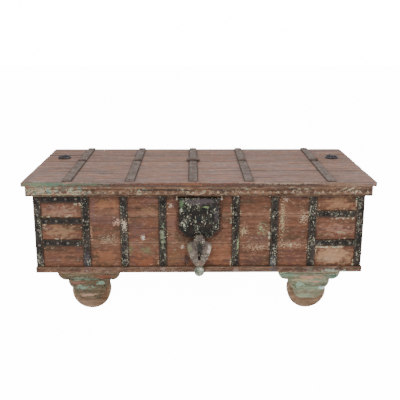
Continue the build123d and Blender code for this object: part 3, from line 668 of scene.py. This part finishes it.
def gap_to(irons_list, point, first, second):
    """Distance in mm from a point to the nearest iron, measured along two axes."""
    nearest = 1.0
    for low, high in irons_list:
        away = [max(low[k] - point[k], point[k] - high[k]) for k in (first, second)]
        nearest = min(nearest, max(away))
    return nearest / MM


def smooth(value):
    """Ease from 0 to 1."""
    value = min(max(value, 0.0), 1.0)
    return value * value * (3 - 2 * value)


def wall_touch(point, normal):
    """Front boards: swelled between the irons, dark where they meet, with old paint left beside them.

    A painted shadow darkens them just below the apron's foot.
    """
    if normal.y > -0.5:
        return 0.0, 0.0, 0.0
    gap = gap_to(front_irons, point, 0, 2)
    corner = abs(point.x) > corner_x
    swell = (1.8 if corner else 0.8) * smooth((gap - 1) / 7) if gap > 0 else 0.0
    ragged = noise.noise(point * 60)
    dirt_and_shade = 0.75 * math.exp(-max(gap, 0) / 2.2) + 0.25 * math.exp(-max(gap, 0) / 9) * (0.6 + ragged)
    # Painted shadow: the boards darken just below the apron's foot.
    under = (apron_foot - point.z) / MM
    dirt_and_shade += 1.1 * math.exp(-max(under, 0) / 8)
    near = math.exp(-((gap - 4) / 3.0) ** 2)
    side = 0.6 if corner else 0.55 if point.x > 0.1 else 0.3
    paint = near * side * (0.25 + 2.4 * noise.noise(point * 20))
    return swell, min(dirt_and_shade, 0.95), max(0.0, paint)


RING_DENT_MM = 0.9
RING_DENT_REACH_MM = 48.0


def top_touch(irons_list):
    """Boards of the top: dirt beside each iron and along each seam, and a dent worn by each ring."""

    def touch(point, normal):
        if normal.z < 0.5:
            return 0.0, 0.0, 0.0
        gap = gap_to(irons_list, point, 0, 1)
        dirt_and_shade = 0.95 * math.exp(-(max(gap, 0) / 3.6) ** 2) + 0.12 * math.exp(-max(gap, 0) / 14)
        seam = min(abs(point.y - level) for level in seam_levels) / MM
        dirt_and_shade += 0.85 * math.exp(-(seam / 3.5) ** 2)
        ring = math.hypot(abs(point.x) - ring_place.x, point.y - ring_place.y) / MM
        return -RING_DENT_MM * math.exp(-(ring / RING_DENT_REACH_MM) ** 4), min(dirt_and_shade, 0.9), 0.0

    return touch


def iron_lines(irons_list, axis, gaps_mm=(0.5, 3.0, 6.0, 10.0)):
    """Cut positions just beside the irons, so that dirt and paint lines are drawn crisply."""
    places = set()
    for low, high in irons_list:
        for gap in gaps_mm:
            places.add((axis, round(low[axis] - gap * MM, 5)))
            places.add((axis, round(high[axis] + gap * MM, 5)))
    return sorted(places)


# ---------------------------------------------------------------- walls, floor and mouldings

front_cuts = iron_lines(front_irons, 0) + [
    (2, level) for axis, level in iron_lines(islands("corner_bands_left") + islands("corner_bands_right"), 2)
]
for number, course in enumerate(("lower", "middle", "upper")):
    timbers(f"front_board_{course}", teak, "body_wood", 10 + number, cuts=front_cuts, touch=wall_touch)
timbers("back_boards", teak_back, "rough_wood", 20)
for side in ("left", "right"):
    timbers(f"end_boards_{side}", teak_end, "rough_wood", 30, axis=1)
timbers("floor_boards", teak_rough, "rough_wood", 50, cell_mm=12)
timbers("top_rail", teak_rough, "rough_wood", 52, cell_mm=12)
timbers("lid_battens", teak_rough, "rough_wood", 54, cell_mm=10)
timbers("plinth_front", plinth_wood, "plinth_wood", 56, round_mm=3)
timbers("plinth_back", plinth_wood, "plinth_wood", 58, round_mm=3)
timbers("plinth_ends", plinth_wood, "plinth_wood", 60, round_mm=3, axis=1)
from_cad("lock_board", "lock_board_wood", dark_teak, "body_wood", 62, bevel_mm=2.5)

# ---------------------------------------------------------------- apron

LEDGE_MM = 11.0
TOOTH_PITCH_MM = 24.3
TOOTH_WIDTH_MM = 12.5
TOOTH_HEIGHT_MM = 10.5
TOOTH_DEPTH_MM = 4.0
SINK_MM = 1.6
apron_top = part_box("lid_apron_front")[1][2]
ledge_z = apron_top - LEDGE_MM * MM
tooth_foot = ledge_z - 13.5 * MM
band_foot = tooth_foot - 2.5 * MM


def apron_touch(outward):
    """Apron face: a proud ledge above, a sunk carved band, a rounded foot; old paint most on the left.

    Painted shadow darkens it under the nosing, along the ledge step and over the foot; the sunk band is
    darker by an uneven amount.
    """

    def touch(point, normal):
        if normal.dot(outward) < 0.5:
            return 0.0, 0.0, 0.0
        below = smooth((ledge_z - point.z) / (1.2 * MM))
        foot = smooth((band_foot - point.z) / (6 * MM))
        # Painted shadow lines along the ledge step and just under the nosing; the foot gets painted shade too.
        shade_lines = math.exp(-(((point.z - ledge_z) / MM) / 1.3) ** 2)
        shade_lines += math.exp((point.z - apron_top) / (1.8 * MM))
        dirt_and_shade = 0.7 * shade_lines + 0.7 * foot + 0.45 * below * (0.7 + noise.noise(point * 40))
        left = smooth((0.1 - point.x) / 0.5) if abs(outward.y) > 0.5 else 0.5
        paint = (0.3 + 0.3 * left) * (0.55 + 1.5 * noise.noise(point * 11)) * (1 - foot)
        return -SINK_MM * below - 1.2 * foot, min(max(dirt_and_shade, 0.0), 0.9), max(0.0, paint)

    return touch


def notch_cutter(low, high):
    """Row of three-sided points that cut the chip-carved notches of the front apron."""
    count = int((high.x - low.x) / (TOOTH_PITCH_MM * MM))
    start = (low.x + high.x) / 2 - (count - 1) * TOOTH_PITCH_MM * MM / 2
    mesh = bmesh.new()
    for number in range(count):
        made = bmesh.ops.create_cone(
            mesh, cap_ends=True, segments=3, radius1=1.0, radius2=0.0, depth=1.0
        )["verts"]
        uneven = 1 + 0.22 * noise.noise(Vector((number * 0.73, 4.0, 0)))
        width = TOOTH_WIDTH_MM * MM / math.sqrt(3) * uneven
        height = TOOTH_HEIGHT_MM * MM / 1.5 * uneven
        turn = Matrix.Rotation(math.radians(-90), 4, "X") @ Matrix.Rotation(math.pi, 4, "Z")
        shape = Matrix.Diagonal((width, TOOTH_DEPTH_MM * MM, height, 1))
        face_y = low.y + (SINK_MM + 0.35 * TOOTH_DEPTH_MM) * MM
        place = Matrix.Translation((start + number * TOOTH_PITCH_MM * MM, face_y, tooth_foot + height / 2))
        bmesh.ops.transform(mesh, matrix=place @ shape @ turn, verts=made)
    return mesh


def carved_apron():
    """Front apron with a ledge, a sunk band and a row of pale chip-carved notches."""
    low, high = islands("lid_apron_front")[0]
    steps = [(2, ledge_z + 0.3 * MM), (2, ledge_z - 1.4 * MM), (2, band_foot)]
    mesh = block_mesh(low, high, 5.0, 1.5, steps)
    weather(mesh, low, high, 48, touch=apron_touch(Vector((0, -1, 0))), chip_mm=1.6)
    board = show(mesh, "lid_apron_front_carved", [apron_wood, notch_wood], ["lid_apron_front"])
    cutter_mesh = notch_cutter(low, high)
    data = bpy.data.meshes.new("notches")
    bmesh.ops.recalc_face_normals(cutter_mesh, faces=cutter_mesh.faces)
    cutter_mesh.to_mesh(data)
    cutter_mesh.free()
    data.materials.append(apron_wood)
    data.materials.append(notch_wood)
    for face in data.polygons:
        face.material_index = 1
    cutter = bpy.data.objects.new("notches", data)
    bpy.context.scene.collection.objects.link(cutter)
    carving = board.modifiers.new("carving", "BOOLEAN")
    carving.object = cutter
    carving.operation = "DIFFERENCE"
    carving.solver = "EXACT"
    bpy.context.view_layer.update()
    carved = bpy.data.meshes.new_from_object(board.evaluated_get(bpy.context.evaluated_depsgraph_get()))
    board.modifiers.clear()
    board.data = carved
    bpy.data.objects.remove(cutter)


carved_apron()
for side, outward in (("left", -1), ("right", 1)):
    timbers(
        f"lid_apron_{side}", apron_end, "apron_wood", 40, axis=1,
        cuts=((2, ledge_z + 0.3 * MM), (2, ledge_z - 1.4 * MM)), touch=apron_touch(Vector((outward, 0, 0))),
    )
timbers("rear_apron_ends", apron_end, "apron_wood", 44, axis=1)
timbers("rear_apron_back", apron_wood, "apron_wood", 46)

# ---------------------------------------------------------------- top

top_boards = (
    ("lid_plank_front", top_front, lid_irons, (1, 0, 7.0)),
    ("lid_plank_rear", top_rear, lid_irons, None),
    ("rear_plank_front", top_fixed, rear_irons, None),
    ("rear_plank_back", top_fixed, rear_irons, (1, 1, 7.0)),
)
SEAM_CUTS_MM = (-7.0, -4.0, 4.0, 7.0)
seam_cuts = [(1, level + gap * MM) for level in seam_levels for gap in SEAM_CUTS_MM]
for number, (node, wood, beside, nose) in enumerate(top_boards):
    timbers(
        node, wood, "top_wood", 70 + number, round_mm=2.0, nose=nose,
        cuts=iron_lines(beside, 0, (0.5, 3.0, 7.0)) + seam_cuts,
        touch=top_touch(beside), rub=0.25,
    )

# ---------------------------------------------------------------- straps, bands and hinges

for node in ("front_straps_left", "front_straps_right", "corner_bands_right"):
    irons(node, strap_iron, "strap_iron", 80, axis=2)
irons("corner_bands_left", bare_band_iron, "strap_iron", 82, axis=2)
irons("end_straps", strap_iron, "strap_iron", 84, axis=2)
for node in ("corner_iron_front_left", "corner_iron_front_right", "corner_irons_back"):
    from_cad(node, node + "_worn", strap_iron, "strap_iron", 86, axis=2, edge_mm=2.0)
for letter in "abcde":
    from_cad(f"lid_strap_{letter}", f"lid_strap_{letter}_worn", top_iron, "strap_iron", 90, axis=1, edge_mm=2.0)
from_cad("rear_hinge_leaves", "rear_hinge_leaves_worn", top_iron, "strap_iron", 92, axis=1, edge_mm=2.0)


def domed_nails(node, material, axis, sign):
    """Hand-forged nail heads: low faceted domes, each a little out of true."""
    mesh = bmesh.new()
    for number, (low, high) in enumerate(islands(node)):
        made = bmesh.ops.create_uvsphere(mesh, u_segments=9, v_segments=6, radius=1.0)["verts"]
        radius = (high - low)[(axis + 1) % 3] / 2 * (1 + 0.12 * noise.noise(Vector((number * 1.3, 2, 0))))
        size = Vector((radius, radius, radius))
        size[axis] = (high - low)[axis] * (1.1 + 0.3 * noise.noise(Vector((number * 0.9, 7, 0))))
        base = (low + high) / 2
        base[axis] = (low if sign > 0 else high)[axis]
        turn = Matrix.Rotation(number * 0.7, 4, "XYZ"[axis])
        place = Matrix.Translation(base) @ Matrix.Diagonal((*size, 1)) @ turn
        bmesh.ops.transform(mesh, matrix=place, verts=made)
    low, high = (Vector(corner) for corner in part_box(node))
    level = (low if sign > 0 else high)[axis]
    normal = Vector([float(k == axis) * sign for k in range(3)])
    bmesh.ops.bisect_plane(
        mesh,
        geom=mesh.verts[:] + mesh.edges[:] + mesh.faces[:],
        plane_co=normal * level * sign,
        plane_no=normal,
        clear_inner=True,
    )
    rims = [edge for edge in mesh.edges if edge.is_boundary]
    bmesh.ops.holes_fill(mesh, edges=rims, sides=0)
    weather(mesh, low, high, 120, warp_mm=0.25, chip_mm=0.0, edge_mm=1.0)
    return show(mesh, node + "_domed", material, [node])


# Pale grey ground and pale rims: partly worn iron, partly painted highlights on the domes.
nail_iron = old_iron("forged_nail_head", black="#2b2725", grey="#6f675f", edge="#b0a493", seed=22.0)
domed_nails("front_nails", nail_iron, 1, -1)
domed_nails("lid_nails", top_iron, 2, 1)
domed_nails("rear_nails", top_iron, 2, 1)

# ---------------------------------------------------------------- hasp

from_cad("hasp_plate", "hasp_plate_worn", hasp_iron, "hasp_iron", 98, cell_mm=4.0, warp_mm=1.0, edge_mm=2.5)
from_cad("hasp_leaf", "hasp_leaf_worn", leaf_iron, "hasp_iron", 99, cell_mm=4.0, warp_mm=0.8, edge_mm=2.5)
from_cad("hasp_knob", "hasp_knob_worn", knob_iron, "knob_paint", 101, bevel_mm=0.6, cell_mm=4.0, warp_mm=1.0)

# ---------------------------------------------------------------- brackets and wheels


def scallop_line(mesh):
    """Carve a bead and a groove that follow the scalloped outline of the outer cheek."""
    outer = max(mesh.faces, key=lambda face: abs(face.calc_center_median().y))
    for thickness, depth in ((7.0, 0.0), (1.5, -1.0), (2.0, 0.0), (1.5, 1.0)):
        bmesh.ops.inset_region(
            mesh,
            faces=[outer],
            thickness=thickness * MM,
            depth=depth * MM,
            use_even_offset=False,
            use_boundary=True,
        )


bracket_woods = {"front_left": left_bracket_wood, "front_right": right_bracket_wood}
for end in ("front", "back"):
    for side in ("left", "right"):
        node = f"bracket_{end}_{side}"
        wood = bracket_woods.get(f"{end}_{side}", back_bracket_wood)
        from_cad(node, node + "_carved", wood, "bracket_wood", 94, bevel_mm=1.6, carve=scallop_line)
        node = f"wheel_{end}_{side}"
        from_cad(node, node + "_worn", wheel_wood, "wheel_wood", 96, bevel_mm=1.0, warp_mm=1.0, axis=2)

# ---------------------------------------------------------------- CAD pieces that keep their shape

kept_finish = {"hasp_eyes": eye_iron, "lock_eye": leaf_iron}
for node, piece in nodes.items():
    if not piece.hide_render:
        piece.data.materials.clear()
        piece.data.materials.append(kept_finish.get(node, dark_iron))

# ---------------------------------------------------------------- stage, light and camera


def area_light(name, place, aim, size, power):
    """Soft rectangular light aimed at a point."""
    lamp = bpy.data.lights.new(name, "AREA")
    lamp.shape = "RECTANGLE"
    lamp.size, lamp.size_y = size
    lamp.energy = power
    holder = bpy.data.objects.new(name, lamp)
    holder.location = place
    holder.rotation_euler = (Vector(aim) - Vector(place)).to_track_quat("-Z", "Y").to_euler()
    bpy.context.scene.collection.objects.link(holder)


# How bright the floor and the room are as light, and as they are seen behind the trunk.
FLOOR_GLOW = 0.9
FLOOR_GLOW_SEEN = 14.0
ROOM_LIGHT = 0.75
ROOM_LIGHT_SEEN = 16.0


def studio():
    """White floor that glows a little, a white room and three soft lights."""
    mesh = bmesh.new()
    bmesh.ops.create_grid(mesh, x_segments=1, y_segments=1, size=12.0)
    data = bpy.data.meshes.new("floor")
    mesh.to_mesh(data)
    mesh.free()
    floor = bpy.data.objects.new("floor", data)
    bpy.context.scene.collection.objects.link(floor)
    material, tree, coords = new_material("pale_floor")
    shade = fibres(tree, coords, 600, 600, "X", 3.0)
    colour = add(tree, "Mix", {"Factor": shade, "A": "#f6f6f6", "B": "#fbfbfb"}, data_type="RGBA")
    seen = add(tree, "LightPath", out="Is Camera Ray")
    glow = add(tree, "MapRange", {"Value": seen, "To Min": FLOOR_GLOW, "To Max": FLOOR_GLOW_SEEN})
    surface = add(
        tree,
        "BsdfPrincipled",
        {
            "Base Color": colour,
            "Roughness": 0.95,
            "Specular IOR Level": 0.1,
            "Emission Color": "#ffffff",
            "Emission Strength": glow,
        },
    )
    output = tree.nodes.new("ShaderNodeOutputMaterial")
    tree.links.new(surface, output.inputs[0])
    data.materials.append(material)
    world = bpy.data.worlds.new("studio")
    bpy.context.scene.world = world
    world.use_nodes = True
    tree = world.node_tree
    tree.nodes.clear()
    seen = add(tree, "LightPath", out="Is Camera Ray")
    strength = add(tree, "MapRange", {"Value": seen, "To Min": ROOM_LIGHT, "To Max": ROOM_LIGHT_SEEN})
    sky = add(tree, "Background", {"Color": "#ffffff", "Strength": strength})
    output = tree.nodes.new("ShaderNodeOutputWorld")
    tree.links.new(sky, output.inputs[0])
    area_light("key", (-1.4, -2.6, 2.8), (0, 0, 0.3), (2.0, 1.6), 42)
    area_light("fill", (2.4, -1.8, 1.6), (0, 0, 0.3), (2.0, 2.0), 14)
    area_light("top", (0.8, 0.6, 3.0), (0.2, 0, 0.4), (3.0, 2.0), 30)


EYE = (-0.0213, -2.3155, 0.9658)
LENS_MM = 58.56
SENSOR_MM = 36.0
LOOK_DOWN_DEG = 15.43
ROLL_DEG = -0.07
TURN_DEG = -0.64


def camera():
    """Eye half a metre above the lid and two metres in front of it, looking a little down."""
    lens = bpy.data.cameras.new("view")
    lens.sensor_width = SENSOR_MM
    lens.lens = LENS_MM
    lens.clip_end = 60.0
    eye = bpy.data.objects.new("view", lens)
    eye.location = EYE
    eye.rotation_euler = (math.radians(90 - LOOK_DOWN_DEG), math.radians(ROLL_DEG), math.radians(TURN_DEG))
    bpy.context.scene.collection.objects.link(eye)
    bpy.context.scene.camera = eye


studio()
camera()
